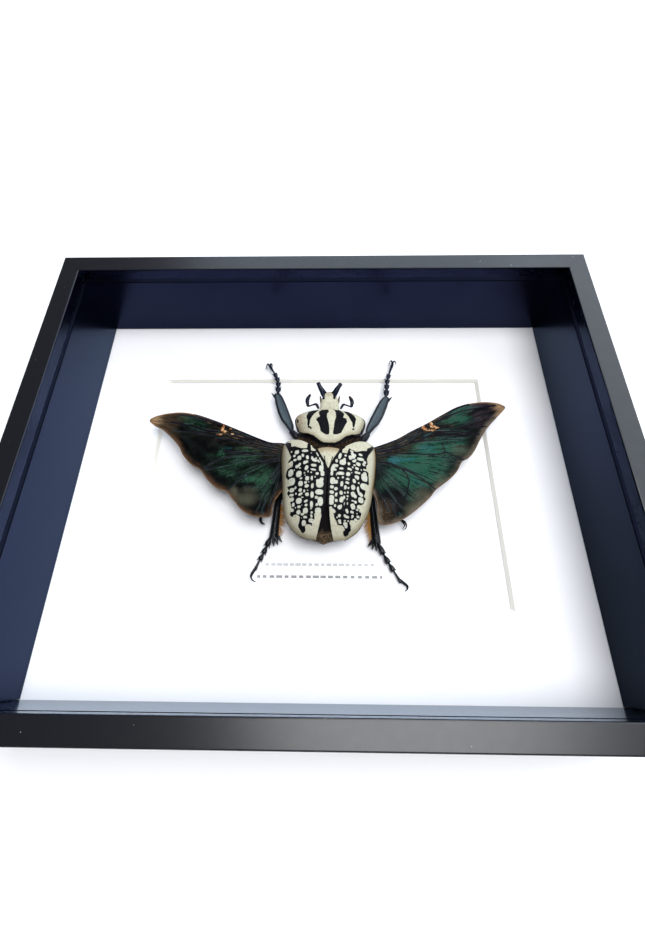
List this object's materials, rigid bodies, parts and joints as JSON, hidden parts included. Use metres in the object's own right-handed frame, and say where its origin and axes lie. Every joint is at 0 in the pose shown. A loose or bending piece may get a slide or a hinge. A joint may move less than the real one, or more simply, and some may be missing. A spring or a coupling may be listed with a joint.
{
  "type": "framed beetle specimen",
  "caption": "Black shadow-box frame with a spread goliath beetle behind glass, set on white board inside a bevelled window mat, with a hanger on the back.",
  "frame": {"origin": "middle of the frame's rear plane, straight below the centre of the glass", "axes": "the frame lies on its back: +X to the right as it is looked at, +Y towards the top edge and the beetle's head, +Z out of the glass"},
  "size_m": [0.267, 0.216, 0.058],
  "materials": {
    "black_lacquer": "satin black lacquer",
    "black_card": "matte black",
    "white_mat": "matte white with a fine tooth and a cream core in the bevel",
    "white_board": "matte white",
    "brown_board": "bare fibre board",
    "glass": "clear",
    "steel": "dull zinc",
    "ivory_shell": null,
    "black_shell": null,
    "brown_shell": null,
    "wing_membrane": null
  },
  "bodies": {
    "root": {"rail_top": "black_lacquer", "rail_bottom": "black_lacquer", "rail_left": "black_lacquer", "rail_right": "black_lacquer", "glass_pane": "glass", "spacer_top": "black_card", "spacer_bottom": "black_card", "spacer_left": "black_card", "spacer_right": "black_card", "window_mat": "white_mat", "mount_board": "white_board", "back_board": "brown_board", "point_1": "steel", "point_2": "steel", "point_3": "steel", "point_4": "steel", "point_5": "steel", "point_6": "steel", "point_7": "steel", "point_8": "steel", "hanger": "steel", "hanger_rivet_left": "steel", "hanger_rivet_right": "steel", "head": "ivory_shell", "antenna_left": "black_shell", "antenna_right": "black_shell", "pronotum": "ivory_shell", "scutellum": "ivory_shell", "wing_case_left": "ivory_shell", "wing_case_right": "ivory_shell", "wing_left": "wing_membrane", "wing_right": "wing_membrane", "trunk": "brown_shell", "fore_leg_left": "black_shell", "fore_leg_right": "black_shell", "mid_leg_left": "black_shell", "mid_leg_right": "black_shell", "hind_leg_left": "black_shell", "hind_leg_right": "black_shell", "fore_foot_left": "black_shell", "fore_foot_right": "black_shell", "mid_foot_left": "black_shell", "mid_foot_right": "black_shell", "hind_foot_left": "black_shell", "hind_foot_right": "black_shell"}
  },
  "joints": []
}
